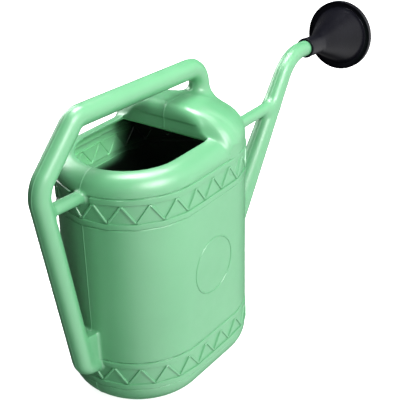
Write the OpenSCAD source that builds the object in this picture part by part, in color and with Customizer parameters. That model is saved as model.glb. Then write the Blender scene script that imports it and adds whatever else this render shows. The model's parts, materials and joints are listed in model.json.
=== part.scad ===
// Watering can of about ten litres: one blow-moulded can with its handle, stays and
// spout, and a black push-on rose with a snap-on perforated face.
// Frame: +X towards the spout, +Z up, origin at the centre of the base.

/* [Tank] */
// Length of the tank over its two round ends
tank_length = 247; // [232:1:290]
// Width of the tank across its two flat sides
tank_width = 170; // [150:1:178]
// Height from the base to the foot of the shoulder
tank_wall_height = 276; // [250:1:320]
// Thickness of the moulded wall
wall = 2.2; // [1.6:0.1:3]
// Radius of the rounded edge round the base
base_edge_radius = 28; // [20:1:30]

/* [Shoulder and mouth] */
// Radius of the rounded shoulder, which is also its height
shoulder_radius = 22; // [18:1:26]
// Distance from the tank's middle forward to the hood's rear wall
hood_wall_x = 23; // [10:1:26]
// Height of the hood above the mouth's rim
hood_rise = 29; // [20:1:34]
// Radius that rounds the hood's rear edge at its two sides
hood_corner_radius = 15; // [10:1:15]

/* [Bands] */
// Height of the skirt below the lower band
skirt_height = 36; // [33:1:42]
// Width of each band between its two rails
band_gap = 22; // [16:1:26]
// Width of each rail
rail_width = 7.4; // [4:0.1:10]
// How far the rails and the zigzag stand out of the wall
relief = 1.2; // [0.8:0.1:2]
// Width of a zigzag ridge
ridge_width = 2.8; // [2:0.1:4]
// Zigzag waves round the tank
wave_count = 22; // [16:2:28]
// Radius of the plain ring on each flat side
side_ring_radius = 35; // [25:1:37]

/* [Handle] */
// Diameter of the handle tube
handle_diameter = 24.8; // [20:0.4:26]
// Height of the grip's centre line above the base, at its rear end
grip_height = 362; // [355:0.5:380]
// Distance from the tank's middle forward to the handle's front leg
handle_front_x = 91; // [84:1:94]
// Distance from the tank's middle back to the rear top bend
handle_rear_bend_x = 122.5; // [100:0.5:126]
// Distance from the tank's middle back to the handle's rearmost bend
handle_back_x = 182.5; // [178:0.5:195]
// Diameter of the short stay between handle and tank
handle_stay_diameter = 14.6; // [10:0.2:16]

/* [Spout] */
// Diameter of the spout where it leaves the tank
spout_root_diameter = 38; // [34:1:44]
// Diameter of the spout through its top bend
spout_neck_diameter = 22; // [21:0.5:24]
// Diameter of the straight tip that carries the rose
spout_tip_diameter = 20.4; // [19:0.1:20.8]
// Slope of the spout above the level
spout_slope = 53.8; // [50:0.2:58]
// Height of the spout's centre line at the tank's front wall
spout_root_height = 61; // [58:1:70]
// Height of the spout's top corner, where its two centre lines meet
spout_top_height = 305; // [295:1:315]
// Angle of the tip and the rose below the level
tip_droop = 5; // [0:0.5:12]
// Diameter of the level stay between tank and spout
spout_stay_diameter = 15.5; // [10:0.5:18]

/* [Rose] */
// Diameter of the rose over its face cap
rose_diameter = 99; // [80:1:110]
// Length of the rose from the sleeve's mouth to the face cap's front edge
rose_length = 107; // [95:1:120]
// Length of the straight sleeve
sleeve_length = 37; // [30:1:45]
// Wall thickness of the rose
rose_wall = 2.4; // [2:0.1:3]
// Gap all round between the tip and the sleeve, a light push fit
rose_clearance = 0.08; // [0.05:0.01:0.1]
// Diameter of the spray holes
spray_hole_diameter = 1.6; // [1.2:0.1:2.4]
// Rings of spray holes round the middle one
spray_rings = 6; // [3:1:7]

/* [Hidden] */
$fn = 96;
can_green = [0.47, 0.82, 0.56];
rose_black = [0.05, 0.05, 0.06];

// The tank's outline is a stadium: two round ends joined by two flat sides.
end_radius = tank_width / 2;
end_centre = tank_length / 2 - end_radius;
mouth_z = tank_wall_height + shoulder_radius;
hood_draw_in = 60;
hood_round_z = tank_wall_height + 12;
hood_arch_in = 38;
lip_width = 2.5;
mouth_half_width = end_radius - shoulder_radius - lip_width;

// Heights of the two bands' rails.
lower_rails = [skirt_height - rail_width, skirt_height + band_gap];
upper_rails = [tank_wall_height - 2 * rail_width - band_gap, tank_wall_height - rail_width];

// Handle: centre line through [x, z] corners, each rounded by a bend.
handle_radius = handle_diameter / 2;
handle_bore_radius = handle_radius - wall;
front_lean = 6;
front_root_z = mouth_z + 8;
grip_fall = 9.5;
back_rise = 5;
foot_reach = 17;
foot_z = 62;
foot_x = -tank_length / 2 - foot_reach;
foot_drop = 4;
handle_corners = [
    [handle_front_x + front_lean, front_root_z],
    [handle_front_x, grip_height - grip_fall],
    [-handle_rear_bend_x, grip_height],
    [-handle_back_x, mouth_z + back_rise],
    [foot_x, foot_z],
    [-tank_length / 2 + foot_drop, foot_z - foot_drop],
];
handle_bends = [22, 20, 30, 16];
foot_web_height = 46;
foot_web_width = 20;
weld_gap = 0.06;
handle_stay_z = tank_wall_height - 4;

// Spout: a taper up to the top bend, then the straight tip.
spout_dir = [cos(spout_slope), sin(spout_slope)];
tip_dir = [cos(tip_droop), -sin(tip_droop)];
spout_root = [tank_length / 2, spout_root_height];
spout_corner = spout_root + spout_dir * ((spout_top_height - spout_root_height) / spout_dir[1]);
spout_bend_radius = 56;
bend_reach = spout_bend_radius * tan((spout_slope + tip_droop) / 2);
spout_bend_start = spout_corner - spout_dir * bend_reach;
spout_bend_end = spout_corner + tip_dir * bend_reach;
spout_inset = 26;
spout_start = spout_root - spout_dir * spout_inset;
neck_taper_length = 8;
tip_start = spout_bend_end + tip_dir * neck_taper_length;
tip_length = 36;
tip_end = tip_start + tip_dir * tip_length;
spout_stay_z = upper_rails[0] + rail_width;
spout_stay_end_x = spout_root[0] + (spout_stay_z - spout_root_height) / tan(spout_slope);

// Rose: turned about the tip's axis, lengths measured from the sleeve's mouth.
sleeve_mouth = tip_start + tip_dir * 3;
sleeve_bore_radius = spout_tip_diameter / 2 + rose_clearance;
sleeve_radius = sleeve_bore_radius + 3;
cap_radius = rose_diameter / 2;
cap_wall = 1.8;
cap_gap = 0.3;
cap_depth = 8;
flange_radius = cap_radius - cap_wall - cap_gap;
flange_front = rose_length - cap_wall - cap_gap;
flange_thickness = 3;
cone_radius = flange_radius - 6;
spray_ring_step = (cone_radius - 9) / spray_rings;

// ---------- shared shapes ----------

// A stadium-shaped outline, drawn in by inset.
module stadium(inset = 0) {
    for (side = [-1, 1])
        translate([side * end_centre, 0])
            circle(end_radius - inset);
    translate([-end_centre, inset - end_radius])
        square([2 * end_centre, tank_width - 2 * inset]);
}

// Sweeps a profile, drawn as [radius, height], round one end of the stadium.
module sweep_end(side) {
    translate([side * end_centre, 0, 0])
        rotate([0, 0, -side * 90])
            rotate_extrude(angle = 180)
                children();
}

// Runs the same profile straight along both flat sides, from x0 to x1.
module sweep_sides(x0, x1) {
    translate([x0, 0, 0])
        rotate([90, 0, 90])
            linear_extrude(x1 - x0) {
                children();
                mirror([1, 0])
                    children();
            }
}

module sweep_stadium() {
    for (side = [-1, 1])
        sweep_end(side)
            children();
    sweep_sides(-end_centre, end_centre)
        children();
}

// Points of a quarter circle from angle a0 to a1.
function arc(centre, r, a0, a1, steps = 12) =
    [for (i = [0 : steps]) let (a = a0 + (a1 - a0) * i / steps)
        centre + r * [cos(a), sin(a)]];

// Unit vector from a to b, and the angle turned between two directions.
function unit(a, b) = (b - a) / norm(b - a);
function turn(d, e) = atan2(d[0] * e[1] - d[1] * e[0], d * e);

// A round bar from a to b in the X-Z plane.
module bar(a, b, r1, r2) {
    d = b - a;
    translate([a[0], 0, a[1]])
        rotate([0, 90 - atan2(d[1], d[0]), 0])
            cylinder(h = norm(d), r1 = r1, r2 = r2);
}

// Points along the arc that rounds corner b between a and c: [point, tangent].
function fillet(a, b, c, bend, steps = 8) =
    let (d = unit(a, b), e = unit(b, c), t = turn(d, e),
        inward = sign(t) * [-d[1], d[0]],
        centre = b - d * bend * tan(abs(t) / 2) + inward * bend)
    [for (i = [0 : steps]) let (w = t * i / steps)
        [centre - bend * [inward[0] * cos(w) - inward[1] * sin(w),
             inward[0] * sin(w) + inward[1] * cos(w)],
         [d[0] * cos(w) - d[1] * sin(w), d[0] * sin(w) + d[1] * cos(w)]]];

// The whole path through corners, every inner corner rounded by its bend.
function path(p, bends) =
    let (last = len(p) - 1)
    concat([[p[0], unit(p[0], p[1])]],
        [for (i = [1 : last - 1]) each fillet(p[i - 1], p[i], p[i + 1], bends[i - 1])],
        [[p[last], unit(p[last - 1], p[last])]]);

// One ring of points square to the path.
function ring(at, r, sides) =
    [for (j = [0 : sides - 1]) let (a = 360 * j / sides)
        [at[0][0] - at[1][1] * r * cos(a), r * sin(a), at[0][1] + at[1][0] * r * cos(a)]];

// Faces between ring i and the next one, and a flat end made of two nested rings.
function skin(first, rings, n, flip) =
    [for (i = [0 : rings - 2]) for (j = [0 : n - 1])
        let (a = first + i * n + j, b = first + i * n + (j + 1) % n)
        flip ? [a, b, b + n, a + n] : [a, a + n, b + n, b]];
function annulus(outer, inner, n, flip) =
    [for (j = [0 : n - 1]) let (k = (j + 1) % n)
        flip ? [outer + j, inner + j, inner + k, outer + k]
             : [outer + j, outer + k, inner + k, inner + j]];

// A hollow tube along a path; radii holds the outer radius at each point of the path.
module tube(at, radii, thickness, sides = 24) {
    rings = len(at);
    points = concat(
        [for (i = [0 : rings - 1]) each ring(at[i], radii[i], sides)],
        [for (i = [0 : rings - 1]) each ring(at[i], radii[i] - thickness, sides)]);
    inner = rings * sides;
    polyhedron(points, concat(
        skin(0, rings, sides, true), skin(inner, rings, sides, false),
        annulus(0, inner, sides, true),
        annulus(inner - sides, 2 * inner - sides, sides, false)));
}

// ---------- tank ----------

// The outline of the tank wall, solid to the middle.
module wall_profile(inset) {
    r = end_radius - inset;
    edge = base_edge_radius - inset;
    polygon(concat(
        [[0, inset]],
        arc([r - edge, inset + edge], edge, -90, 0),
        [[r, tank_wall_height + inset], [0, tank_wall_height + inset]]));
}

module rail_profile(z) {
    polygon([
        [end_radius - wall / 2, z], [end_radius, z], [end_radius + relief, z + relief],
        [end_radius + relief, z + rail_width - relief], [end_radius, z + rail_width],
        [end_radius - wall / 2, z + rail_width],
    ]);
}

module tank_solid() {
    sweep_stadium()
        wall_profile(0);
}

// The rails stop where the spout and the handle's foot grow out of the wall.
module rails() {
    difference() {
        for (z = concat(lower_rails, upper_rails))
            sweep_stadium()
                rail_profile(z);
        spout_taper(0);
        handle_foot(handle_radius);
        foot_web();
        spout_stay_bar();
        handle_stay_bar();
    }
}

// Everything between two heights, to cut the body with.
module slab(z0, z1) {
    translate([-tank_length, -tank_width, z0])
        cube([2 * tank_length, 2 * tank_width, z1 - z0]);
}

// The floor with its rounded edge.
module base() {
    color(can_green)
        difference() {
            tank_solid();
            sweep_stadium()
                wall_profile(wall);
            slab(base_edge_radius, tank_wall_height + wall);
        }
}

// The upright wall with its four rails.
module tank() {
    color(can_green)
        difference() {
            union() {
                tank_solid();
                rails();
            }
            sweep_stadium()
                wall_profile(wall);
            slab(-wall, base_edge_radius);
            spout_taper(wall);
            handle_foot(handle_bore_radius);
        }
}

// ---------- shoulder, mouth and hood ----------

// Half-width of the shoulder's quarter round at a height above its foot.
function shoulder_half(h) =
    end_radius - shoulder_radius + sqrt(max(0, shoulder_radius * shoulder_radius - h * h));

module shoulder_profile(inset) {
    polygon(concat(
        [[0, tank_wall_height - inset]],
        [[end_radius - inset, tank_wall_height - inset]],
        arc([end_radius - shoulder_radius, tank_wall_height], shoulder_radius - inset, 0, 90),
        [[0, mouth_z - inset]]));
}

// The shoulder runs round the rear end and along both sides up to the hood.
module shoulder_sweep(inset) {
    sweep_end(-1)
        shoulder_profile(inset);
    sweep_sides(-end_centre, hood_wall_x)
        shoulder_profile(inset);
}

module shoulder() {
    color(can_green)
        difference() {
            shoulder_sweep(0);
            shoulder_sweep(wall);
            slab(0, tank_wall_height);
            mouth_cut();
        }
}

// The mouth: a rounded slot through the rim, up to the hood's rear wall.
module mouth_cut() {
    translate([0, 0, mouth_z - shoulder_radius / 2])
        linear_extrude(shoulder_radius)
            stadium(end_radius - mouth_half_width);
}

// Radius of the hood's round front at a height: upright, then a quarter ellipse.
function hood_front(z) =
    let (rise = mouth_z + hood_rise - hood_round_z, up = max(0, z - hood_round_z) / rise)
    end_radius - hood_draw_in * (1 - sqrt(max(0, 1 - up * up)));

// Levels of the hood from its foot to its top: [height, front radius, rear half-width,
// radius of the rear corners]. It follows the shoulder up to the rim, then domes over.
hood_levels = concat(
    [for (i = [0 : 5]) let (h = shoulder_radius * i / 5)
        [tank_wall_height + h, hood_front(tank_wall_height + h), shoulder_half(h), 0.4]],
    [for (a = [12 : 13 : 90]) let (draw = 1 - cos(a))
        [mouth_z + hood_rise * sin(a), hood_front(mouth_z + hood_rise * sin(a)),
         shoulder_half(shoulder_radius) - hood_arch_in * draw,
         hood_corner_radius * min(1, a / 38)]]);

// One level outline: a round front, straight sides and two rear corners.
function hood_ring(level, inset, rear_x) =
    let (r = level[1] - inset, w = level[2] - inset, c = max(0.3, level[3] - inset),
        z = level[0] - (level[0] > mouth_z - wall ? inset : 0))
    [for (p = concat(arc([end_centre, 0], r, -90, 90, 24),
            arc([rear_x + c, w - c], c, 90, 180, 5),
            arc([rear_x + c, c - w], c, 180, 270, 5)))
        [p[0], p[1], z]];

module hood_shell() {
    n = len(hood_ring(hood_levels[0], 0, hood_wall_x));
    rings = len(hood_levels);
    inner = rings * n;
    points = concat(
        [for (level = hood_levels) each hood_ring(level, 0, hood_wall_x)],
        [for (level = hood_levels) each hood_ring(level, wall, hood_wall_x + wall)]);
    polyhedron(points, concat(
        skin(0, rings, n, false), skin(inner, rings, n, true),
        annulus(0, inner, n, false),
        [[for (j = [0 : n - 1]) inner - 1 - j], [for (j = [0 : n - 1]) 2 * inner - n + j]]));
}

module hood() {
    color(can_green)
        difference() {
            hood_shell();
            sweep_sides(hood_wall_x - wall, hood_wall_x + 2 * wall)
                shoulder_profile(wall);
            handle_front_leg();
        }
}

// ---------- raised trim ----------

// A thin ring round the tank between two heights, where the trim lies.
module trim_ring(z, height) {
    translate([0, 0, z])
        linear_extrude(height)
            difference() {
                stadium(-relief);
                stadium();
            }
}

// Where a distance s round the stadium lands: [x, y, direction outwards].
half_perimeter = 2 * end_centre + PI * end_radius;
function round_place(s) =
    let (q = PI * end_radius / 2)
    s < q ? [-end_centre - end_radius * cos(s / end_radius * 180 / PI),
             -end_radius * sin(s / end_radius * 180 / PI), 180 + s / end_radius * 180 / PI]
    : s < q + 2 * end_centre ? [-end_centre + s - q, -end_radius, 270]
    : s < half_perimeter ? let (a = (s - q - 2 * end_centre) / end_radius * 180 / PI)
            [end_centre + end_radius * sin(a), -end_radius * cos(a), 270 + a]
    : let (m = round_place(2 * half_perimeter - s)) [m[0], -m[1], -m[2]];

// Slanted ridges between two rails; phase 0 starts at the foot on the rear centre line.
module zigzag(z, phase) {
    count = 2 * wave_count;
    run = 2 * half_perimeter / count;
    length = norm([run, band_gap]);
    slope = atan2(band_gap, run);
    intersection() {
        trim_ring(z, band_gap);
        for (i = [0 : count - 1]) {
            place = round_place((i + 0.5) * run);
            up = (i + phase) % 2 == 0 ? 1 : -1;
            translate([place[0], place[1], z + band_gap / 2])
                rotate([0, 0, place[2]])
                    rotate([up * slope, 0, 0])
                        cube([8 * relief, length - ridge_width, ridge_width], center = true);
        }
    }
}

module upper_zigzag() {
    color(can_green)
        difference() {
            zigzag(upper_rails[0] + rail_width, 0);
            handle_stay_bar();
            spout_stay_bar();
        }
}

module lower_zigzag() {
    color(can_green)
        difference() {
            zigzag(lower_rails[0] + rail_width, 1);
            handle_foot(handle_radius);
            foot_web();
            spout_taper(0);
        }
}

// A plain thin ring on each flat side, where a label could go.
module side_rings() {
    ring_z = (skirt_height + tank_wall_height) / 2;
    color(can_green)
        for (side = [-1, 1])
            translate([0, side * (end_radius + relief / 4), ring_z])
                rotate([90, 0, 0])
                    difference() {
                        cylinder(h = relief / 2, r = side_ring_radius + 1, center = true);
                        cylinder(h = relief, r = side_ring_radius - 1, center = true);
                    }
}

// ---------- handle ----------

handle_path = path(handle_corners, handle_bends);

// The round of the front leg, carried on down through the hood's wall.
module handle_front_leg() {
    a = handle_corners[0];
    b = handle_corners[1];
    bar(a - unit(a, b) * handle_radius, b, handle_radius, handle_radius);
}

// The round of the rear leg and of the bend at its foot.
handle_end = len(handle_path) - 1;
module handle_leg() {
    for (span = [[10, 9], [9, 5], [5, 1]])
        bar(handle_path[handle_end - span[0]][0], handle_path[handle_end - span[1]][0],
            handle_radius, handle_radius);
}

// The handle's last stretch, which turns into the tank wall.
module handle_foot(r) {
    a = handle_corners[4];
    b = handle_corners[5];
    bar(a, b + unit(a, b) * 3 * wall, r, r);
}

// The solid web that joins the foot of the rear leg to the tank wall.
module foot_web() {
    lean = unit(handle_corners[4], handle_corners[3]);
    top = handle_corners[4] + lean * foot_web_height;
    rotate([90, 0, 0])
        linear_extrude(foot_web_width, center = true)
            polygon([handle_corners[4] + lean * handle_radius, top,
                [-tank_length / 2 + 2, top[1] - 8], [-tank_length / 2 + 2, foot_z]]);
}

module handle() {
    color(can_green)
        difference() {
            tube(handle_path, [for (i = handle_path) handle_radius], wall);
            tank_solid();
        }
}

module handle_web() {
    color(can_green)
        difference() {
            foot_web();
            linear_extrude(tank_wall_height)
                stadium(-weld_gap);
            handle_leg();
            handle_foot(handle_radius);
        }
}

module handle_stay_bar() {
    bar([-handle_back_x + 8, handle_stay_z + 4], [-tank_length / 2 + 6, handle_stay_z],
        handle_stay_diameter / 2, handle_stay_diameter / 2);
}

module handle_stay() {
    color(can_green)
        difference() {
            handle_stay_bar();
            bar(handle_corners[3], handle_corners[4], handle_radius, handle_radius);
            tank_solid();
            sweep_end(-1)
                shoulder_profile(0);
        }
}

// ---------- spout ----------

spout_path = path([spout_start, spout_corner, tip_start], [spout_bend_radius]);
spout_radii = concat([spout_root_diameter / 2],
    [for (i = [1 : len(spout_path) - 2]) spout_neck_diameter / 2],
    [spout_tip_diameter / 2]);

// The straight lower stretch as a plain cone, thinner all round by inset.
module spout_taper(inset) {
    bar(spout_start, spout_bend_start, spout_root_diameter / 2 - inset,
        spout_neck_diameter / 2 - inset);
}

module spout() {
    color(can_green)
        difference() {
            tube(spout_path, spout_radii, wall);
            tank_solid();
        }
}

// The straight tip that the rose's sleeve slides over.
module spout_tip() {
    color(can_green)
        difference() {
            bar(tip_start, tip_end, spout_tip_diameter / 2, spout_tip_diameter / 2);
            bar(tip_start - tip_dir, tip_end + tip_dir, spout_tip_diameter / 2 - wall,
                spout_tip_diameter / 2 - wall);
        }
}

module spout_stay_bar() {
    bar([spout_root[0] - 10, spout_stay_z], [spout_stay_end_x, spout_stay_z],
        spout_stay_diameter / 2, spout_stay_diameter / 2);
}

module spout_stay() {
    color(can_green)
        difference() {
            spout_stay_bar();
            spout_taper(0);
            tank_solid();
        }
}

// ---------- rose ----------

// Puts a shape drawn along +Z onto the tip's axis, with its zero at the sleeve's mouth.
module on_tip() {
    translate([sleeve_mouth[0], 0, sleeve_mouth[1]])
        rotate([0, 90 + tip_droop, 0])
            children();
}

module rose_body() {
    color(rose_black)
        on_tip()
            rotate_extrude()
                polygon([
                    [sleeve_bore_radius, 0],
                    [sleeve_radius, 0],
                    [sleeve_radius, sleeve_length],
                    [cone_radius, flange_front - flange_thickness],
                    [flange_radius, flange_front - flange_thickness],
                    [flange_radius, flange_front],
                    [cone_radius - rose_wall, flange_front],
                    [sleeve_radius - rose_wall, sleeve_length + rose_wall / 2],
                    [sleeve_bore_radius, sleeve_length + rose_wall / 2],
                ]);
}

module rose_face() {
    color(rose_black)
        on_tip()
            difference() {
                rotate_extrude()
                    polygon([
                        [0, rose_length - cap_wall],
                        [cap_radius - cap_wall, rose_length - cap_wall],
                        [cap_radius - cap_wall, rose_length - cap_depth],
                        [cap_radius, rose_length - cap_depth],
                        [cap_radius, rose_length - 1],
                        [cap_radius - 1, rose_length],
                        [0, rose_length],
                    ]);
                spray_holes();
            }
}

module spray_holes() {
    translate([0, 0, rose_length - 2 * cap_wall]) {
        cylinder(h = 3 * cap_wall, r = spray_hole_diameter / 2, $fn = 24);
        for (ring = [1 : spray_rings])
            for (i = [0 : 6 * ring - 1])
                rotate([0, 0, i * 60 / ring])
                    translate([ring * spray_ring_step, 0, 0])
                        cylinder(h = 3 * cap_wall, r = spray_hole_diameter / 2, $fn = 24);
    }
}

base();
tank();
shoulder();
hood();
upper_zigzag();
lower_zigzag();
side_rings();
handle();
handle_web();
handle_stay();
spout();
spout_tip();
spout_stay();
rose_body();
rose_face();
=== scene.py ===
"""Looks of the watering can: one blow-moulded green can, a black rose and its face.

Sizes are in millimetres until a mesh is made; the row frame is in metres.
"""
import json
import math

import bmesh
import bpy
import numpy as np
import openvdb
from mathutils import Matrix, Vector


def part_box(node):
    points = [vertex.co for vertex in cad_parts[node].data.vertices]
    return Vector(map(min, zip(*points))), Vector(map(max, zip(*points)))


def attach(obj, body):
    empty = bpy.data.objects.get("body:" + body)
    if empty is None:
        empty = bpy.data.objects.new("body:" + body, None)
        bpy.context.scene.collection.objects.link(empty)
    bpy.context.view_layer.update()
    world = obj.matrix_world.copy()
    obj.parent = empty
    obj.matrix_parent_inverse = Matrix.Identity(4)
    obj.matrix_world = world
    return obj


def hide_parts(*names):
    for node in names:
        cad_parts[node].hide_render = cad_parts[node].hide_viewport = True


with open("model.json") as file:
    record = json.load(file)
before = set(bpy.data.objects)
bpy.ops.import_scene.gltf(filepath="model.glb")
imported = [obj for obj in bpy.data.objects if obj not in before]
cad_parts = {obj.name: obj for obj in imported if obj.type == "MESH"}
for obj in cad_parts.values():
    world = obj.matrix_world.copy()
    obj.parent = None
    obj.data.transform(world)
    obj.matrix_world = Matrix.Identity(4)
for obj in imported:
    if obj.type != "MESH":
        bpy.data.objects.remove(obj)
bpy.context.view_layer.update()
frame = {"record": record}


def node_box(name):
    low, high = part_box(name)
    return np.array(low) * 1000, np.array(high) * 1000


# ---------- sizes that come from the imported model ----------

RELIEF = 1.2
_, tank_high = node_box("tank")
_, shoulder_high = node_box("shoulder")
hood_low, hood_high = node_box("hood")
handle_low, handle_high = node_box("handle")
upper_low, upper_high = node_box("upper_zigzag")
lower_low, _ = node_box("lower_zigzag")

END_R = tank_high[1] - RELIEF
HALF_L = tank_high[0] - RELIEF
END_C = HALF_L - END_R
WALL_TOP = tank_high[2]
MOUTH_Z = shoulder_high[2]
SHOULDER_R = MOUTH_Z - WALL_TOP
HOOD_X = hood_low[0]
HOOD_TOP = hood_high[2]
TUBE_R = 11.9
GRIP_Z = 362.0
FRONT_X = 91.0
BACK_X = -182.5

# ---------- sizes of the moulding's look ----------

BASE_R = 28.0
BAND_GAP = upper_high[2] - upper_low[2]
UPPER_Z, LOWER_Z = upper_low[2], lower_low[2]
BAND_SINK = 1.4
RAIL = 7.4
SKIN = 3.0
MOUTH_HALF = END_R - SHOULDER_R - 2.5
PITCH = 1.75  # the distance field's grid
LATHE_STEPS = 160
TIP_R = 10.2
NECK_R = 11.6
BEND_R = 56.0
DROOP = math.radians(5)
SLOPE = math.radians(53.8)
SPOUT_TOP = 305.0


def length(a, b):
    return np.sqrt(a * a + b * b)


def smooth(x, low, high):
    t = np.clip((x - low) / (high - low), 0, 1)
    return t * t * (3 - 2 * t)


def smooth_min(a, b, k):
    """The lesser of the two, with a fillet about k wide where they cross."""
    h = np.maximum(k - np.abs(a - b), 0) / k
    return np.minimum(a, b) - h * h * k * 0.25


def smooth_max(a, b, k):
    return -smooth_min(-a, -b, k)


# ---------- centre lines in the X-Z plane ----------


def rounded_path(corners, bends):
    """Straight runs and arcs through the corners: ("line", a, b) or ("arc", centre, radius, a, b)."""
    pts = [np.array(c, float) for c in corners]
    out, start = [], pts[0]
    for i, bend in enumerate(bends):
        a, b, c = pts[i], pts[i + 1], pts[i + 2]
        d, e = (b - a) / np.linalg.norm(b - a), (c - b) / np.linalg.norm(c - b)
        turn = math.atan2(d[0] * e[1] - d[1] * e[0], d @ e)
        reach = bend * math.tan(abs(turn) / 2)
        inward = math.copysign(1, turn) * np.array([-d[1], d[0]])
        p, q = b - d * reach, b + e * reach
        out.append(("line", start, p))
        out.append(("arc", p + inward * bend, bend, p, q))
        start = q
    out.append(("line", start, pts[-1]))
    return out


def tube_distance(x, z, path, radii):
    """Distance in the plane to a path, less a radius that runs from one value to the next."""
    best = None
    for i, piece in enumerate(path):
        r0, r1 = radii[i]
        if piece[0] == "line":
            a, b = piece[1], piece[2]
            d = b - a
            t = np.clip(((x - a[0]) * d[0] + (z - a[1]) * d[1]) / (d @ d), 0, 1)
            dist = length(x - a[0] - t * d[0], z - a[1] - t * d[1])
        else:
            c, bend, a, b = piece[1:]
            ang0 = math.atan2(a[1] - c[1], a[0] - c[0])
            span = (math.atan2(b[1] - c[1], b[0] - c[0]) - ang0 + math.pi) % (2 * math.pi) - math.pi
            ang = (np.arctan2(z - c[1], x - c[0]) - ang0 + math.pi) % (2 * math.pi) - math.pi
            t = ang / span
            dist = np.where((t >= 0) & (t <= 1), np.abs(length(x - c[0], z - c[1]) - bend), 1e3)
            t = np.clip(t, 0, 1)
        pair = (dist, r0 + (r1 - r0) * t)
        if best is None:
            best = pair
        else:
            nearer = pair[0] < best[0]
            best = (np.where(nearer, pair[0], best[0]), np.where(nearer, pair[1], best[1]))
    return best


FRONT_LEAN, ROOT_RISE, GRIP_FALL = 6, 8, 9.5
REAR_BEND_X, BACK_RISE = -122.5, 5
FOOT_REACH, FOOT_DROP = 17, 4
HANDLE_BENDS = [22, 20, 30, 16]
FOOT_X, FOOT_Z = -HALF_L - FOOT_REACH, 62.0
WEB_HEIGHT, WEB_WALL_TOP, WEB_WALL_DROP = 46, 40, 7
WEB_HALF, WEB_EDGE_R = 9.8, 1.5
HANDLE_STAY_R, SPOUT_STAY_R = 7.3, 7.75
SPOUT_WALL = 2.4
HANDLE_CORNERS = [(FRONT_X + FRONT_LEAN, MOUTH_Z + ROOT_RISE), (FRONT_X, GRIP_Z - GRIP_FALL),
                  (REAR_BEND_X, GRIP_Z), (BACK_X, MOUTH_Z + BACK_RISE),
                  (FOOT_X, FOOT_Z), (-HALF_L + 4, FOOT_Z - FOOT_DROP)]
HANDLE_PATH = rounded_path(HANDLE_CORNERS, HANDLE_BENDS)
HANDLE_RADII = [(TUBE_R, TUBE_R)] * len(HANDLE_PATH)

spout_dir = np.array([math.cos(SLOPE), math.sin(SLOPE)])
tip_dir = np.array([math.cos(DROOP), -math.sin(DROOP)])
SPOUT_ROOT = np.array([HALF_L, 61.0])
SPOUT_CORNER = SPOUT_ROOT + spout_dir * (SPOUT_TOP - SPOUT_ROOT[1]) / spout_dir[1]
bend_reach = BEND_R * math.tan((SLOPE + DROOP) / 2)
TIP_START = SPOUT_CORNER + tip_dir * (bend_reach + 8)
TIP_END = TIP_START + tip_dir * 36
SPOUT_PATH = rounded_path([SPOUT_ROOT - spout_dir * 26, SPOUT_CORNER, TIP_END], [BEND_R])
SPOUT_RADII = [(19.0, NECK_R), (NECK_R, TIP_R + 0.3), (TIP_R + 0.2, TIP_R)]
STAY_Z = 246.6
STAY_END_X = SPOUT_ROOT[0] + (STAY_Z - SPOUT_ROOT[1]) / math.tan(SLOPE)
HANDLE_STAY = (np.array([BACK_X + 8, WALL_TOP]), np.array([-HALF_L + 6, WALL_TOP - 4]))
lean = np.array(HANDLE_CORNERS[3]) - np.array(HANDLE_CORNERS[4])
lean /= np.linalg.norm(lean)
WEB = [np.array([FOOT_X, FOOT_Z]), np.array([FOOT_X, FOOT_Z]) + lean * WEB_HEIGHT,
       np.array([-HALF_L + 2, FOOT_Z + WEB_WALL_TOP]),
       np.array([-HALF_L + 2, FOOT_Z - WEB_WALL_DROP])]


def segment(x, y, z, a, b, r):
    """Distance to a round bar in the plane y = 0."""
    d = b - a
    t = np.clip(((x - a[0]) * d[0] + (z - a[1]) * d[1]) / (d @ d), 0, 1)
    return np.sqrt((x - a[0] - t * d[0]) ** 2 + (z - a[1] - t * d[1]) ** 2 + y * y) - r


def polygon(x, z, corners):
    """Rough distance to a convex polygon whose corners run clockwise."""
    out = None
    for a, b in zip(corners, corners[1:] + corners[:1]):
        n = np.array([b[1] - a[1], a[0] - b[0]])
        n = n / np.linalg.norm(n)
        side = (x - a[0]) * -n[0] + (z - a[1]) * -n[1]
        out = side if out is None else np.maximum(out, side)
    return out


# ---------- the moulding as distance fields ----------


def outline(x, y):
    """Distance in plan to the tank's oval."""
    return length(np.maximum(np.abs(x) - END_C, 0), y) - END_R


def tank_field(x, y, z):
    """The tank with its rounded base edge and shoulder."""
    low = z < MOUTH_Z / 2
    r = np.where(low, BASE_R, SHOULDER_R)
    q1 = outline(x, y) + r
    q2 = np.where(low, r - z, z - MOUTH_Z + r)
    return np.minimum(np.maximum(q1, q2), 0) + length(np.maximum(q1, 0), np.maximum(q2, 0)) - r


def band_window(z):
    """One behind each band, where the wall is covered by the band's own surface."""
    return sum(smooth(z, low - RAIL - 1.4, low - RAIL + 0.2)
               * (1 - smooth(z, low + BAND_GAP + RAIL - 0.2, low + BAND_GAP + RAIL + 1.4))
               for low in (LOWER_Z, UPPER_Z))


DOME_RUN = 34
DOME_REAR_WIDE, DOME_FRONT_WIDE = 41, 67
DOME_REAR_FOOT, DOME_FRONT_FOOT = 14, 10
DOME_FALL = 4


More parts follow.
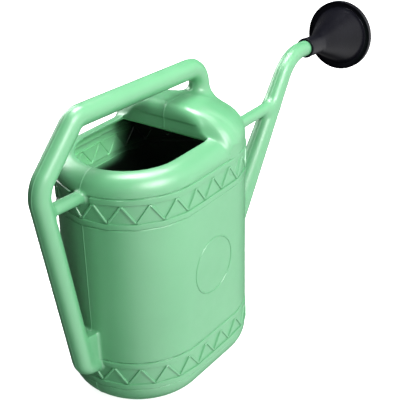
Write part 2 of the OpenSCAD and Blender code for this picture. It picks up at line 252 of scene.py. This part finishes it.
def dome_field(x, y, z):
    """The hood without its rear wall: upright below, then an elliptical quarter round."""
    s = smooth(x, HOOD_X, HOOD_X + DOME_RUN)
    half = END_R - SHOULDER_R + SHOULDER_R * s
    wide = DOME_REAR_WIDE + (DOME_FRONT_WIDE - DOME_REAR_WIDE) * s
    foot = MOUTH_Z - DOME_REAR_FOOT + (DOME_REAR_FOOT - DOME_FRONT_FOOT) * s
    high = HOOD_TOP - DOME_FALL * smooth(x, HOOD_X + 25, HOOD_X + 80) - foot
    rho = length(np.maximum(x - END_C, 0), y)
    q1 = np.maximum(rho - half + wide, 0)
    q2 = np.maximum(z - foot, 0)
    e = length(q1 / wide, q2 / high)
    slope = length(q1 / wide**2, q2 / high**2) / np.maximum(e, 1e-3)
    return (e - 1) / np.maximum(slope, 1 / 60)


def can_parts(x, y, z):
    """Distances to the plain tank, to the can's outside and to its hollow."""
    tank = tank_field(x, y, z)
    skin = tank + BAND_SINK * band_window(z)
    dome = dome_field(x, y, z)
    rear = HOOD_X - x
    rear_k = 15 - 4 * smooth(np.abs(y), 15, 60)
    hood = smooth_max(dome, rear, rear_k)
    hood = np.maximum(hood, WALL_TOP - z)
    join_k = 10 + 20 * smooth(x, HOOD_X + 1, HOOD_X + 12)
    join_k = join_k * (1 - smooth(x, HOOD_X + 15, HOOD_X + 37)) + 0.01
    outer = np.maximum(smooth_min(skin, hood, join_k), np.minimum(outline(x, y), skin + 6))
    hollow = smooth_max(dome + SKIN, rear + SKIN, rear_k)
    hollow = np.maximum(hollow, WALL_TOP - 10 - z)
    inner = np.minimum(tank + SKIN, hollow)
    return tank, outer, inner


def limbs(x, y, z):
    """Handle, web, stays and spout, and the spout's bore."""
    dist, r = tube_distance(x, z, HANDLE_PATH, HANDLE_RADII)
    handle = length(dist, y) - r
    web = polygon(x, z, WEB)
    beside = np.abs(y) - WEB_HALF
    web = length(np.maximum(web + WEB_EDGE_R, 0), np.maximum(beside + WEB_EDGE_R, 0)) - WEB_EDGE_R
    handle = smooth_min(handle, web, 3)
    a, b = HANDLE_STAY
    handle = smooth_min(handle, segment(x, y, z, a, b, HANDLE_STAY_R), 4)
    dist, r = tube_distance(x, z, SPOUT_PATH, SPOUT_RADII)
    line = length(dist, y)
    end = (x - TIP_END[0]) * tip_dir[0] + (z - TIP_END[1]) * tip_dir[1]
    spout = smooth_max(line - r, end, 1.2)
    a, b = np.array([HALF_L - 10, STAY_Z]), np.array([STAY_END_X, STAY_Z])
    spout = smooth_min(spout, segment(x, y, z, a, b, SPOUT_STAY_R), 8)
    bore = line - r + SPOUT_WALL
    return handle, spout, bore


FRONT_FILLET, REAR_FILLET, SPOUT_FILLET = 16.0, 4.5, 9
MOUTH_LIP, INSIDE_EDGE = 1.6, 1.2


def can_field(x, y, z):
    """The whole green moulding with its hollow inside and its mouth."""
    tank, outer, inner = can_parts(x, y, z)
    handle, spout, bore = limbs(x, y, z)
    solid = smooth_min(outer, handle, np.where(x > 0, FRONT_FILLET, REAR_FILLET))
    solid = smooth_min(solid, spout, SPOUT_FILLET)
    hollow = np.minimum(inner, np.maximum(bore, -tank - SKIN - 1))
    mouth = np.maximum(outline(x, y) + END_R - MOUTH_HALF, x - HOOD_X)
    mouth = np.maximum(mouth, np.abs(z - MOUTH_Z) - 12)
    solid = smooth_max(solid, -mouth, MOUTH_LIP)
    return smooth_max(solid, -hollow, INSIDE_EDGE)


def gradient(field, p, step=0.04):
    g = np.empty_like(p)
    for axis in range(3):
        d = np.zeros(3)
        d[axis] = step
        a, b = p + d, p - d
        g[:, axis] = (field(*a.T) - field(*b.T)) / (2 * step)
    return g


def settle(field, p, rounds=4):
    """Moves points onto the field's zero, and returns them with the outward direction there."""
    for _ in range(rounds):
        g = gradient(field, p)
        size = np.maximum((g * g).sum(1), 0.2)
        move = (field(*p.T) / size)[:, None] * g
        p = p - np.clip(move, -1.2, 1.2)
    g = gradient(field, p)
    return p, g / np.maximum(np.linalg.norm(g, axis=1), 1e-6)[:, None]


# ---------- meshes ----------


def make_mesh(name, points, faces, normals=None):
    mesh = bpy.data.meshes.new(name)
    mesh.from_pydata((np.asarray(points) / 1000).tolist(), [], [list(map(int, f)) for f in faces])
    mesh.validate()
    obj = bpy.data.objects.new(name, mesh)
    bpy.context.scene.collection.objects.link(obj)
    mesh.shade_smooth()
    if normals is not None:
        mesh.normals_split_custom_set_from_vertices(np.asarray(normals).tolist())
    return obj


def build_shell():
    """Meshes one half of the field and its mirror image, then moves the points onto the surface."""
    low = np.array([handle_low[0] - 5, -END_R - 6, -5])
    high = np.array([TIP_END[0] + 5, END_R + 6, handle_high[2] + 5])
    count = np.ceil((high - low) / PITCH).astype(int) + 1
    half = int(math.ceil((END_R + 6) / PITCH))
    x = low[0] + PITCH * np.arange(count[0])
    y = PITCH * (np.arange(half + 1))
    z = low[2] + PITCH * np.arange(count[2])
    gx, gy, gz = np.meshgrid(x, y, z, indexing="ij")
    field = np.clip(can_field(gx, gy, gz), -8, 8).astype(np.float32)
    whole = np.concatenate([field[:, :0:-1], field], axis=1)
    grid = openvdb.FloatGrid(8.0)
    grid.copyFromArray(whole)
    points, quads = grid.convertToQuads(0.0)
    points = np.array(points, float) * PITCH + [low[0], -half * PITCH, low[2]]
    quads = np.array(quads)[:, ::-1]
    points, normals = settle(can_field, points)
    return points, quads, normals


def paint_inside_light_and_shade(obj, points, inside):
    """Stores, from how deep inside the can each point lies and how far forward, painted shade (near black)
    and painted light (a lighter green on the upper rear inner wall) for the plastic's colour.
    """
    depth = smooth(-points[:, 2], -246, -226)
    forward = smooth(points[:, 0], 20, 56)
    painted_shade = np.where(inside, 1 - (1 - depth) * (1 - forward), 0.0)
    painted_light = np.where(inside, 1 - painted_shade, 0.0)
    for name, value in (("hollow", painted_shade), ("painted_light_wall", painted_light)):
        layer = obj.data.attributes.new(name, "FLOAT", "POINT")
        layer.data.foreach_set("value", value.astype(np.float32))


shell_points, shell_quads, shell_normals = build_shell()
a, b, c = (shell_points[shell_quads[:, i]] for i in range(3))
if (np.cross(b - a, c - a) * shell_normals[shell_quads[:, 0]]).sum() < 0:
    shell_quads = shell_quads[:, ::-1]
can_shell = make_mesh("can_shell", shell_points, shell_quads, shell_normals)
_, _, shell_inner = can_parts(*shell_points.T)
# painted shade deep inside the shell, painted light on its upper rear inner wall
paint_inside_light_and_shade(can_shell, shell_points, shell_inner < 1.5)


# ---------- raised bands ----------

WAVES = 22
HALF_ROUND = 2 * END_C + math.pi * END_R
RUN = HALF_ROUND / WAVES


def round_place(s, out):
    """A point at distance s round the tank from the rear centre line, and out from the wall."""
    s = np.mod(s, 2 * HALF_ROUND)
    flip = s > HALF_ROUND
    s = np.where(flip, 2 * HALF_ROUND - s, s)
    q = math.pi * END_R / 2
    rear = np.minimum(s, q) / END_R
    front = np.maximum(s - q - 2 * END_C, 0) / END_R
    flat = np.clip(s - q, 0, 2 * END_C)
    ang = -math.pi + rear + front
    x = -END_C + flat + (END_R + out) * np.cos(ang)
    y = (END_R + out) * np.sin(ang)
    y = np.where(flip, -y, y)
    normal = np.stack([np.cos(ang), np.where(flip, -np.sin(ang), np.sin(ang)), 0 * s], -1)
    return np.stack([x, y], -1), normal


def zigzag_height(s, h, phase):
    """Height of the ridges at distance s round and h up the band."""
    s = s / RUN + phase
    t = h / BAND_GAP
    wave = np.abs(np.mod(s, 2) - 1)
    across = np.abs((1 - wave) - t) * RUN
    square_off = BAND_GAP / math.hypot(RUN, BAND_GAP)
    dist = across * square_off
    inside = smooth(h, -0.5, 1.0) * smooth(BAND_GAP - h, -0.5, 1.0)
    return (1 - smooth(dist, 0.75, 1.6)) * inside


def rail_height(h, low, high):
    return smooth(h, low, low + 0.9) * (1 - smooth(h, high - 0.9, high))


GROOVE = 0.55
LOWER_SHIFT = -4.5  # the photo's lower zigzag sits this much further back


def band_height(s, h, phase):
    """Height of the whole band over the wall: its rails, its ridges, its floor and its grooves."""
    rails = rail_height(h, -RAIL, 0) + rail_height(h, BAND_GAP, BAND_GAP + RAIL)
    low = 0.05 - 0.75 * smooth(h, -1.0, 0) * (1 - smooth(h, BAND_GAP, BAND_GAP + 1.0))
    off = np.maximum(-RAIL - h, h - BAND_GAP - RAIL)
    groove = smooth(off, -0.4, 0.35) * (1 - smooth(off, 0.75, 1.5))
    low = low - GROOVE * groove
    return low + (RELIEF - 0.02 - low) * np.maximum(rails, zigzag_height(s, h, phase))


def wall_drop(z):
    """How far the wall curves in above its upright part and below it."""
    up = np.maximum(z - WALL_TOP, 0)
    down = np.maximum(BASE_R - z, 0)
    return (SHOULDER_R - np.sqrt(SHOULDER_R**2 - up * up)) + (BASE_R - np.sqrt(BASE_R**2 - down * down))


def build_band(name, z0, phase, inside=False, shift=0.0):
    """One band as a grid whose columns follow the zigzag's ridges, outside the wall or inside it."""
    skirt = np.array([4.0, 3.7, 1.7, 1.3, 1.0, 0.65, 0.35, 0.15])
    ramp = np.array([0, 0.22, 0.45, 0.68, 0.9])
    rail_rows = np.concatenate([ramp, RAIL - ramp[::-1]])
    rows = np.concatenate([-RAIL - skirt, rail_rows - RAIL,
                           np.linspace(0.8, BAND_GAP - 0.8, 12),
                           rail_rows + BAND_GAP, BAND_GAP + RAIL + skirt[::-1]])
    square_off = BAND_GAP / math.hypot(RUN, BAND_GAP)
    offsets = np.array([-1.65, -1.4, -1.15, -0.75, 0, 0.75, 1.15, 1.4, 1.65]) / square_off
    cols = []
    for h in rows:
        t = min(max(h / BAND_GAP, 0), 1)
        line = []
        for k in range(-1, 2 * WAVES + 1):
            up = (k + phase) % 2 == 0
            centre = (k + (t if up else 1 - t)) * RUN
            gap_low = (2 * t if up else 2 * (1 - t)) * RUN
            gap_high = (2 * (1 - t) if up else 2 * t) * RUN
            line += list(centre + np.clip(offsets, -gap_low / 2, gap_high / 2))
        cols.append(line)
    s = np.array(cols)[:, len(offsets):-len(offsets)]
    h = np.repeat(rows[:, None], s.shape[1], 1)
    lift = band_height(s, h, phase)
    lift[0] = lift[-1] = -0.8  # the outer edges end under the wall
    step = 0.05
    slope_s = (band_height(s + step, h, phase) - band_height(s - step, h, phase)) / (2 * step)
    slope_h = (band_height(s, h + step, phase) - band_height(s, h - step, phase)) / (2 * step)
    if inside:
        lift, sign = np.maximum(lift, 0.2) - SKIN - RELIEF - 0.3, -1
        lift[:6] = lift[-6:] = -SKIN + 0.8
    else:
        lift, sign = lift - wall_drop(z0 + h), 1
    xy, out = round_place(s + shift, lift)
    along = np.stack([-out[..., 1], out[..., 0], 0 * s], -1)
    normal = out - slope_s[..., None] * along - slope_h[..., None] * np.array([0, 0, 1.0])
    normal /= np.linalg.norm(normal, axis=-1)[..., None]
    points = np.concatenate([xy, (z0 + h)[..., None]], -1)
    n, m = s.shape
    index = np.arange(n * m).reshape(n, m)
    right = np.roll(index, -1, 1)
    quads = np.stack([index[:-1], right[:-1], right[1:], index[1:]], -1).reshape(-1, 4)
    points, normal = points.reshape(-1, 3), normal.reshape(-1, 3) * sign
    if inside:
        quads = quads[:, ::-1]
    centre = points[quads].mean(1)
    handle, spout, _ = limbs(*centre.T)
    keep = spout > 1 if inside else np.minimum(handle, spout) > -1.5
    quads = quads[keep]
    # Where two ridges close on each other their points meet, and faces left without area are dropped.
    p = points[quads]
    area = np.linalg.norm(np.cross(p[:, 2] - p[:, 0], p[:, 3] - p[:, 1]), axis=1)
    quads = quads[area > 1e-3]
    obj = make_mesh(name, points, quads, normal)
    # the inner band gets the same painted shade and painted light as the shell's inside; the outer bands
    # get none
    paint_inside_light_and_shade(obj, points, np.full(len(points), inside))
    return obj


upper_band = build_band("upper_band", UPPER_Z, 0)
lower_band = build_band("lower_band", LOWER_Z, 1, shift=LOWER_SHIFT)
inner_band = build_band("inner_band", UPPER_Z, 0, inside=True)


def lathe(name, profile, place, steps):
    """Turns a profile of (radius, along) points about the local Z axis."""
    profile = np.array(profile, float)
    n = len(profile)
    ang = 2 * math.pi * np.arange(steps) / steps
    pts = np.stack([profile[None, :, 0] * np.cos(ang)[:, None],
                    profile[None, :, 0] * np.sin(ang)[:, None],
                    np.repeat(profile[None, :, 1], steps, 0)], -1).reshape(-1, 3)
    faces = []
    for i in range(steps):
        j = (i + 1) % steps
        for k in range(n - 1):
            faces.append((i * n + k, j * n + k, j * n + k + 1, i * n + k + 1))
    pts = (np.array(place.to_3x3()) @ pts.T).T + np.array(place.translation)
    return make_mesh(name, pts, faces)


def soften(obj, angle=40):
    """Smooth shading that keeps edges sharper than the angle crisp."""
    bm = bmesh.new()
    bm.from_mesh(obj.data)
    bmesh.ops.remove_doubles(bm, verts=bm.verts, dist=1e-6)
    bmesh.ops.recalc_face_normals(bm, faces=bm.faces)
    for e in bm.edges:
        if len(e.link_faces) == 2 and e.calc_face_angle(0) > math.radians(angle):
            e.smooth = False
    bm.to_mesh(obj.data)
    bm.free()
    return obj


RING_X, RING_Z, RING_R = -1.5, 156.0, 33.7
BEAD_WIDTH, BEAD_HEIGHT, BEAD_SINK, BEAD_STEPS = 2.0, 1.05, 0.12, 8
bead = [(RING_R + BEAD_WIDTH * i / BEAD_STEPS,
         BEAD_HEIGHT * math.sin(math.pi * i / BEAD_STEPS) - BEAD_SINK) for i in range(BEAD_STEPS + 1)]
rings = []
for side in (-1, 1):
    turn = Matrix.Rotation(-side * math.pi / 2, 4, "X")
    place = Matrix.Translation((RING_X, side * END_R, RING_Z)) @ turn
    rings.append(lathe(f"side_ring_{'right' if side < 0 else 'left'}", bead, place, LATHE_STEPS))


# ---------- parting line ----------


def build_parting_line():
    """A fine raised seam where the two mould halves met, all along the middle of the can."""
    bm = bmesh.new()
    bm.from_mesh(can_shell.data)
    cut = bmesh.ops.bisect_plane(bm, geom=bm.verts[:] + bm.edges[:] + bm.faces[:],
                                 plane_co=(0, 0, 0), plane_no=(0, 1, 0))
    edges = [e for e in cut["geom_cut"] if isinstance(e, bmesh.types.BMEdge)]
    verts = sorted({v for e in edges for v in e.verts}, key=lambda v: v.index)
    bm.verts.index_update()
    number = {v.index: i for i, v in enumerate(verts)}
    centre = np.array([v.co for v in verts]) * 1000
    pairs = [(number[e.verts[0].index], number[e.verts[1].index]) for e in edges]
    bm.free()
    centre[:, 1] = 0
    centre, normal = settle(can_field, centre, 3)
    _, _, inner = can_parts(*centre.T)
    _, spout, bore = limbs(*centre.T)
    shown = (inner > 1.5) & ((bore > 1.5) | (spout > 5)) & (centre[:, 2] > 0.5)
    section = [(-1.0, -0.15), (-0.45, 0.4), (0.45, 0.4), (1.0, -0.15)]
    points = np.concatenate([centre + normal * h + np.array([0, w, 0]) for w, h in section])
    n = len(centre)
    faces = []
    for a, b in pairs:
        if shown[a] and shown[b] and np.linalg.norm(centre[a] - centre[b]) > 1e-4:
            for k in range(3):
                faces.append((a + k * n, b + k * n, b + (k + 1) * n, a + (k + 1) * n))
    obj = make_mesh("parting_line", points, faces)
    bm = bmesh.new()
    bm.from_mesh(obj.data)
    loose = [v for v in bm.verts if not v.link_faces]
    bmesh.ops.delete(bm, geom=loose, context="VERTS")
    bmesh.ops.recalc_face_normals(bm, faces=bm.faces)
    bm.to_mesh(obj.data)
    bm.free()
    return obj


parting_line = build_parting_line()


# ---------- rose ----------

SLEEVE_MOUTH = TIP_START + tip_dir * 3
ROSE_PLACE = (Matrix.Translation((SLEEVE_MOUTH[0], 0, SLEEVE_MOUTH[1]))
              @ Matrix.Rotation(math.pi / 2 + DROOP, 4, "Y"))
BORE_R = 10.28
SLEEVE_R = 13.28
FLANGE_R = 47.4
CONE_R = 41.4
CAP_R = 49.5
ROSE_L = 107.0
FLANGE_S = ROSE_L - 5.1
HOLE_RINGS, HOLE_R, HOLE_SIDES = 6, 0.8, 14
CAP_PLATE, CAP_DEPTH, CAP_WALL = 1.8, 8, 1.8


def bend_points(a, b, c, r, steps=6):
    """Rounds corner b of a profile with a small arc."""
    a, b, c = (np.array(p, float) for p in (a, b, c))
    d, e = (a - b) / np.linalg.norm(a - b), (c - b) / np.linalg.norm(c - b)
    half = math.acos(np.clip(d @ e, -1, 1)) / 2
    cut = r / math.tan(half)
    p, q = b + d * cut, b + e * cut
    mid = b + (d + e) / np.linalg.norm(d + e) * (r / math.sin(half))
    t0 = math.atan2(*(p - mid)[::-1])
    span = (math.atan2(*(q - mid)[::-1]) - t0 + math.pi) % (2 * math.pi) - math.pi
    return [tuple(mid + r * np.array([math.cos(t0 + span * i / steps), math.sin(t0 + span * i / steps)]))
            for i in range(steps + 1)]


def rounded_profile(points, radii):
    out = []
    for i, p in enumerate(points):
        r = radii[i]
        if r and 0 < i < len(points) - 1:
            out += bend_points(points[i - 1], p, points[i + 1], r)
        else:
            out.append(p)
    return out


body_profile = rounded_profile(
    [(BORE_R, 39), (BORE_R, 0), (SLEEVE_R + 0.5, 0), (SLEEVE_R + 0.5, 3), (SLEEVE_R, 4.2),
     (SLEEVE_R, 37), (CONE_R, FLANGE_S), (FLANGE_R, FLANGE_S), (FLANGE_R, FLANGE_S + 3),
     (CONE_R - 2.4, FLANGE_S + 3), (SLEEVE_R - 2.4, 38.2), (BORE_R, 38.2)],
    [0, 0.6, 1.0, 0.6, 0.6, 8, 1.2, 0.5, 0.5, 1.5, 0, 0])
rose_body = soften(lathe("rose_shell", body_profile, ROSE_PLACE, LATHE_STEPS))


def build_face():
    """The face cap: a plate with real spray holes inside a rounded rim."""
    step = (CONE_R - 9) / HOLE_RINGS
    holes = [(0.0, 0.0)]
    for ring in range(1, HOLE_RINGS + 1):
        for i in range(6 * ring):
            t = math.radians(i * 60 / ring)
            holes.append((ring * step * math.cos(t), ring * step * math.sin(t)))
    bm = bmesh.new()
    edges = []
    rim_r, rim_n = CAP_R - 2.2, LATHE_STEPS

    def loop(cx, cy, r, n):
        ring = [bm.verts.new((cx + r * math.cos(2 * math.pi * i / n),
                              cy + r * math.sin(2 * math.pi * i / n), 0)) for i in range(n)]
        return [bm.edges.new((ring[i], ring[(i + 1) % n])) for i in range(n)]

    edges += loop(0, 0, rim_r, rim_n)
    for cx, cy in holes:
        edges += loop(cx, cy, HOLE_R, HOLE_SIDES)
    bmesh.ops.triangle_fill(bm, use_beauty=True, use_dissolve=False, edges=edges)
    drop = []
    for f in bm.faces:
        mid = f.calc_center_median()
        if any(math.hypot(mid.x - cx, mid.y - cy) < HOLE_R * 0.9 for cx, cy in holes):
            drop.append(f)
    bmesh.ops.delete(bm, geom=drop, context="FACES_ONLY")
    bm.verts.index_update()
    flat = [tuple(v.co) for v in bm.verts]
    tris = [[v.index for v in f.verts] for f in bm.faces]
    rims = [(e.verts[0].index, e.verts[1].index) for e in bm.edges
            if len(e.link_faces) == 1 and math.hypot(*e.verts[0].co[:2]) < rim_r - 0.5]
    bm.free()
    n = len(flat)
    front, back = ROSE_L, ROSE_L - CAP_PLATE
    points = [(x, y, front) for x, y, _ in flat] + [(x, y, back) for x, y, _ in flat]
    faces = tris + [[i + n for i in t[::-1]] for t in tris]
    faces += [(a, b, b + n, a + n) for a, b in rims]
    rim = rounded_profile(
        [(rim_r, front), (CAP_R, front), (CAP_R, ROSE_L - CAP_DEPTH),
         (CAP_R - CAP_WALL, ROSE_L - CAP_DEPTH), (CAP_R - CAP_WALL, back), (rim_r, back)],
        [0, 1.6, 0.5, 0.5, 0, 0])
    base = len(points)
    m = len(rim)
    for i in range(rim_n):
        t = 2 * math.pi * i / rim_n
        points += [(r * math.cos(t), r * math.sin(t), s) for r, s in rim]
    for i in range(rim_n):
        j = (i + 1) % rim_n
        faces += [(base + i * m + k, base + j * m + k, base + j * m + k + 1, base + i * m + k + 1)
                  for k in range(m - 1)]
    pts = (np.array(ROSE_PLACE.to_3x3()) @ np.array(points).T).T + np.array(ROSE_PLACE.translation)
    return soften(make_mesh("rose_cap", pts, faces))


rose_face = build_face()


# ---------- materials ----------


def material(name):
    mat = bpy.data.materials.new(name)
    mat.use_nodes = True
    nodes, links = mat.node_tree.nodes, mat.node_tree.links
    return mat, nodes, links, nodes["Principled BSDF"]


def noise(nodes, links, coord, scale, detail=3.0, rough=0.5):
    n = nodes.new("ShaderNodeTexNoise")
    n.inputs["Scale"].default_value = scale
    n.inputs["Detail"].default_value = detail
    n.inputs["Roughness"].default_value = rough
    links.new(coord, n.inputs["Vector"])
    return n.outputs["Fac"]


def ramp(nodes, links, fac, stops):
    r = nodes.new("ShaderNodeValToRGB")
    r.color_ramp.elements[0].position, r.color_ramp.elements[0].color = stops[0][0], (*stops[0][1], 1)
    r.color_ramp.elements[1].position, r.color_ramp.elements[1].color = stops[-1][0], (*stops[-1][1], 1)
    for pos, col in stops[1:-1]:
        e = r.color_ramp.elements.new(pos)
        e.color = (*col, 1)
    links.new(fac, r.inputs["Fac"])
    return r.outputs["Color"]


def spread(nodes, links, fac, low, high):
    m = nodes.new("ShaderNodeMapRange")
    m.inputs["From Min"].default_value, m.inputs["From Max"].default_value = 0.3, 0.7
    m.inputs["To Min"].default_value, m.inputs["To Max"].default_value = low, high
    links.new(fac, m.inputs["Value"])
    return m.outputs["Result"]


def bump(nodes, links, height, strength, distance, below=None):
    b = nodes.new("ShaderNodeBump")
    b.inputs["Strength"].default_value = strength
    b.inputs["Distance"].default_value = distance
    links.new(height, b.inputs["Height"])
    if below is not None:
        links.new(below, b.inputs["Normal"])
    return b.outputs["Normal"]


def can_plastic():
    """Light green polyethylene: milky, satin, with flow clouds, fine orange peel and light scuffs."""
    mat, nodes, links, shader = material("can_polyethylene")
    coord = nodes.new("ShaderNodeTexCoord").outputs["Object"]
    clouds = noise(nodes, links, coord, 9.0, 4.0)
    colour = ramp(nodes, links, clouds, [(0.3, (0.096, 0.320, 0.152)), (0.5, (0.104, 0.336, 0.161)),
                                         (0.7, (0.113, 0.352, 0.171))])
    # Painted light and painted shade inside the can: the upper rear inner wall is painted lighter as if
    # lit, and deep inside is painted near black, as stored on the points.
    for name, painted_tone in (("painted_light_wall", (0.310, 0.860, 0.430, 1)), ("hollow", (0.002, 0.006, 0.003, 1))):
        inside = nodes.new("ShaderNodeAttribute")
        inside.attribute_name = name
        shade = nodes.new("ShaderNodeMix")
        shade.data_type = "RGBA"
        links.new(inside.outputs["Fac"], shade.inputs["Factor"])
        links.new(colour, shade.inputs[6])
        shade.inputs[7].default_value = painted_tone
        colour = shade.outputs[2]
    links.new(colour, shader.inputs["Base Color"])
    scuff = noise(nodes, links, coord, 60.0, 5.0, 0.6)
    links.new(spread(nodes, links, scuff, 0.32, 0.42), shader.inputs["Roughness"])
    peel = noise(nodes, links, coord, 420.0, 2.0)
    swell = noise(nodes, links, coord, 26.0, 2.0)
    soft = bump(nodes, links, swell, 0.35, 0.0009)
    links.new(bump(nodes, links, peel, 0.18, 0.0002, soft), shader.inputs["Normal"])
    shader.inputs["IOR"].default_value = 1.5
    shader.inputs["Specular IOR Level"].default_value = 0.95
    shader.inputs["Subsurface Weight"].default_value = 0.18
    shader.inputs["Subsurface Radius"].default_value = (0.5, 1.0, 0.6)
    shader.inputs["Subsurface Scale"].default_value = 0.006
    return mat


def rose_plastic():
    """Glossy black injection-moulded plastic with faint moulding marks."""
    mat, nodes, links, shader = material("rose_gloss_black")
    coord = nodes.new("ShaderNodeTexCoord").outputs["Object"]
    clouds = noise(nodes, links, coord, 40.0, 3.0)
    colour = ramp(nodes, links, clouds, [(0.3, (0.003, 0.003, 0.005)), (0.7, (0.006, 0.006, 0.009))])
    links.new(colour, shader.inputs["Base Color"])
    smear = noise(nodes, links, coord, 25.0, 4.0, 0.6)
    links.new(spread(nodes, links, smear, 0.18, 0.28), shader.inputs["Roughness"])
    shader.inputs["Specular IOR Level"].default_value = 0.16
    peel = noise(nodes, links, coord, 500.0, 2.0)
    links.new(bump(nodes, links, peel, 0.12, 0.0001), shader.inputs["Normal"])
    return mat


green, black = can_plastic(), rose_plastic()
CAN_NODES = [n for n in frame["record"]["behaviour"]["bodies"]["can"]
             if n not in ("upper_zigzag", "lower_zigzag", "side_rings")]
for piece in [can_shell, upper_band, lower_band, inner_band, parting_line, *rings]:
    piece.data.materials.append(green)
    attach(piece, "can")
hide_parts(*CAN_NODES)
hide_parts("upper_zigzag")
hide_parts("lower_zigzag")
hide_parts("side_rings")
for piece, body, node in ((rose_body, "rose", "rose_body"), (rose_face, "face", "rose_face")):
    piece.data.materials.append(black)
    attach(piece, body)
    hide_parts(node)


# ---------- floor, light and camera ----------


def floor_material():
    mat, nodes, links, shader = material("studio_paper")
    coord = nodes.new("ShaderNodeTexCoord").outputs["Object"]
    clouds = noise(nodes, links, coord, 3.0)
    colour = ramp(nodes, links, clouds, [(0.3, (0.93, 0.93, 0.93)), (0.7, (0.95, 0.95, 0.95))])
    links.new(colour, shader.inputs["Base Color"])
    shader.inputs["Roughness"].default_value = 0.9
    shader.inputs["Specular IOR Level"].default_value = 0.1
    shader.inputs["Emission Color"].default_value = (1, 1, 1, 1)
    shader.inputs["Emission Strength"].default_value = 0.8
    return mat


def build_floor():
    """A round floor that curves up into a plain backdrop all the way round and over the top."""
    reach, curve, steps = 9000.0, 3000.0, 96
    profile = [(r, 0.0) for r in (1.0, 400.0, 1500.0, 4000.0, reach - curve)]
    profile += [(reach - curve + curve * math.sin(t), curve - curve * math.cos(t))
                for t in np.linspace(0.1, math.pi / 2, 12)]
    profile += [(reach * math.cos(t), curve + reach * math.sin(t)) for t in np.linspace(0.1, 1.56, 12)]
    floor = lathe("floor", profile, Matrix.Identity(4), steps)
    turns = 2 * math.pi * np.arange(steps) / steps
    middle = make_mesh("floor_middle", [(math.cos(t), math.sin(t), 0) for t in turns],
                       [tuple(range(steps))])
    paper = floor_material()
    for obj in (floor, middle):
        obj.data.materials.append(paper)
        obj.visible_diffuse = obj.visible_glossy = obj.visible_shadow = False


build_floor()

scene = bpy.context.scene
scene.view_settings.view_transform = "Standard"


def direction(azimuth, rise):
    """The unit vector at an azimuth from +X and a rise above the floor."""
    return (math.cos(azimuth) * math.cos(rise), math.sin(azimuth) * math.cos(rise), math.sin(rise))


KEY_AZ, KEY_EL = math.radians(-82), math.radians(-2)
KEY_LIGHT, ROOM_LIGHT = 1.55, 0.06


def studio_world():
    """A giant soft light from the can's right, fading to a dark room at its left and behind."""
    world = bpy.data.worlds.new("studio")
    world.use_nodes = True
    nodes, links = world.node_tree.nodes, world.node_tree.links
    toward = nodes.new("ShaderNodeVectorMath")
    toward.operation = "DOT_PRODUCT"
    links.new(nodes.new("ShaderNodeTexCoord").outputs["Generated"], toward.inputs[0])
    toward.inputs[1].default_value = direction(KEY_AZ, KEY_EL)
    lobe = nodes.new("ShaderNodeMapRange")
    lobe.interpolation_type = "SMOOTHSTEP"
    lobe.inputs["From Min"].default_value, lobe.inputs["From Max"].default_value = -0.05, 0.75
    lobe.inputs["To Min"].default_value, lobe.inputs["To Max"].default_value = ROOM_LIGHT, KEY_LIGHT
    links.new(toward.outputs["Value"], lobe.inputs["Value"])
    links.new(lobe.outputs["Result"], nodes["Background"].inputs["Strength"])
    nodes["Background"].inputs["Color"].default_value = (1, 1, 1, 1)
    return world


scene.world = studio_world()


def area_light(name, place, target, size, power):
    data = bpy.data.lights.new(name, "AREA")
    data.shape, data.size, data.size_y = "RECTANGLE", size, size
    data.energy = power
    obj = bpy.data.objects.new(name, data)
    obj.location = place
    obj.rotation_mode = "QUATERNION"
    obj.rotation_quaternion = (Vector(target) - Vector(place)).to_track_quat("-Z", "Y")
    scene.collection.objects.link(obj)


area_light("top", (0.28, 0.13, 1.45), (-0.05, -0.03, 0.28), 0.6, 20)
area_light("fill", (0.5, 1.7, 0.9), (0, 0, 0.2), 1.0, 22)
area_light("key", (-0.25, -1.3, 1.4), (0, 0, 0.25), 0.7, 25)

YAW, RISE, ROLL = math.radians(36.198), math.radians(-27.759), math.radians(-1.301)
CAMERA_PLACE = (-0.75975, -0.62189, 0.72925)
SENSOR, LENS = 36.0, 85.09653
forward = Vector(direction(YAW, RISE))
right = Vector((math.sin(YAW), -math.cos(YAW), 0))
up = right.cross(forward)
right2 = right * math.cos(ROLL) + up * math.sin(ROLL)
up2 = up * math.cos(ROLL) - right * math.sin(ROLL)
camera = bpy.data.objects.new("camera", bpy.data.cameras.new("camera"))
camera.data.sensor_width = SENSOR
camera.data.lens = LENS
camera.data.clip_start, camera.data.clip_end = 0.05, 50
turn = Matrix((right2, up2, -forward)).transposed().to_4x4()
camera.matrix_world = Matrix.Translation(CAMERA_PLACE) @ turn
scene.collection.objects.link(camera)
scene.camera = camera
